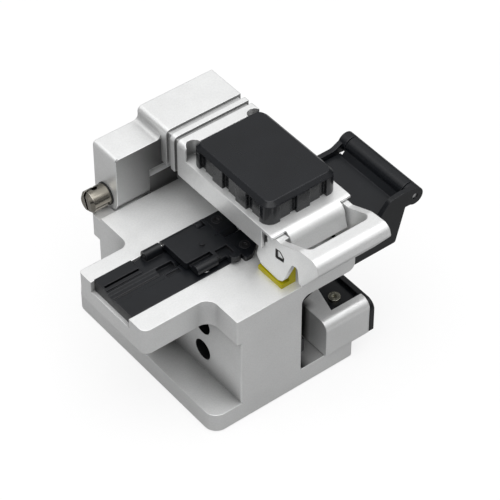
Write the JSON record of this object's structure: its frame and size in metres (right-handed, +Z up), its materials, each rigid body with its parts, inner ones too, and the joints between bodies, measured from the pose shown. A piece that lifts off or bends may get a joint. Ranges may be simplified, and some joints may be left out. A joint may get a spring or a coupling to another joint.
{
  "type": "optical fibre cleaver",
  "caption": "Hinged-lever optical fibre cleaver: metal base, round blade on a sliding carriage, fibre adapter with flap, catch handle and lidded scrap tray.",
  "frame": {"origin": "middle of the underside of the rubber mat under the foot plate, on the desk", "axes": "+Z up, +Y from the operator's side to the lever hinge, +X along the fibre to the scrap tray"},
  "size_m": [0.0733, 0.0664, 0.0544],
  "materials": {
    "satin_aluminium": "fine blasted and clear anodised",
    "black_aluminium": "black anodised, satin",
    "black_pad": "smooth matt black",
    "steel": "turned and ground",
    "dark_steel": "blackened",
    "nickel": "bright nickel",
    "hard_metal": "ground",
    "black_rubber": "matt",
    "yellow_plastic": "moulded, satin",
    "magnet_nickel": "plated"
  },
  "bodies": {
    "base": {"base_body": "satin_aluminium", "rubber_mat": "black_rubber", "mat_screws": "dark_steel", "wall_screws": "dark_steel", "slide_rail": "dark_steel", "rail_screws": "dark_steel", "fibre_adapter": "black_aluminium", "adapter_screws": "dark_steel", "adapter_magnet": "magnet_nickel", "flap_pin": "steel", "lower_clamps": "black_rubber", "fibre_guide": "black_aluminium", "guide_screws": "dark_steel", "keeper": "yellow_plastic", "keeper_screw": "dark_steel", "hinge_pin": "steel", "pin_knob": "nickel", "pin_washer": "black_rubber", "collector_tray": "black_aluminium", "collector_screws": "dark_steel", "lid_pin": "steel"},
    "lever": {"lever_body": "satin_aluminium", "lever_pad": "black_pad", "pad_screws": "dark_steel", "clamp_holder": "black_aluminium", "holder_screws": "dark_steel", "upper_clamps": "black_rubber", "catch_pin": "steel"},
    "plunger": {"anvil": "steel"},
    "catch": {"catch_handle": "satin_aluminium", "catch_ring": "black_rubber"},
    "carriage": {"carriage_cover": "satin_aluminium", "carriage_block": "black_aluminium", "carriage_side": "black_aluminium", "carriage_screws": "dark_steel", "blade_bracket": "steel", "blade_screw": "dark_steel"},
    "blade": {"blade_wheel": "hard_metal"},
    "flap": {"flap": "black_aluminium", "flap_magnet": "magnet_nickel", "flap_rubber": "black_rubber"},
    "lid": {"collector_lid": "black_aluminium"}
  },
  "joints": [
    {"name": "lever_hinge", "type": "hinge", "parent": "base", "child": "lever", "pos_m": [0, 0.02375, 0.0355], "axis": [-1, 0, 0], "range_deg": [0, 80]},
    {"name": "catch_hinge", "type": "hinge", "parent": "lever", "child": "catch", "pos_m": [0.0114, -0.02175, 0.045], "axis": [1, 0, 0], "range_deg": [0, 20], "stiffness_Nm_per_rad": 0.02, "springref_deg": -17.19},
    {"name": "plunger_slide", "type": "slide", "parent": "lever", "child": "plunger", "axis": [0, 0, 1], "range_m": [0, 0.0008], "stiffness_N_per_m": 200, "springref_m": -0.0005},
    {"name": "carriage_slide", "type": "slide", "parent": "base", "child": "carriage", "axis": [0, 1, 0], "range_m": [0, 0.02]},
    {"name": "blade_turn", "type": "hinge", "parent": "carriage", "child": "blade", "pos_m": [0.01265, -0.01225, 0.0256], "axis": [1, 0, 0], "continuous": true},
    {"name": "flap_hinge", "type": "hinge", "parent": "base", "child": "flap", "pos_m": [-0.00705, 0.00185, 0.0346], "axis": [-1, 0, 0], "range_deg": [0, 100]},
    {"name": "lid_hinge", "type": "hinge", "parent": "base", "child": "lid", "pos_m": [0.03845, -0.01515, 0.0424], "axis": [0, 1, 0], "range_deg": [0, 75]}
  ]
}
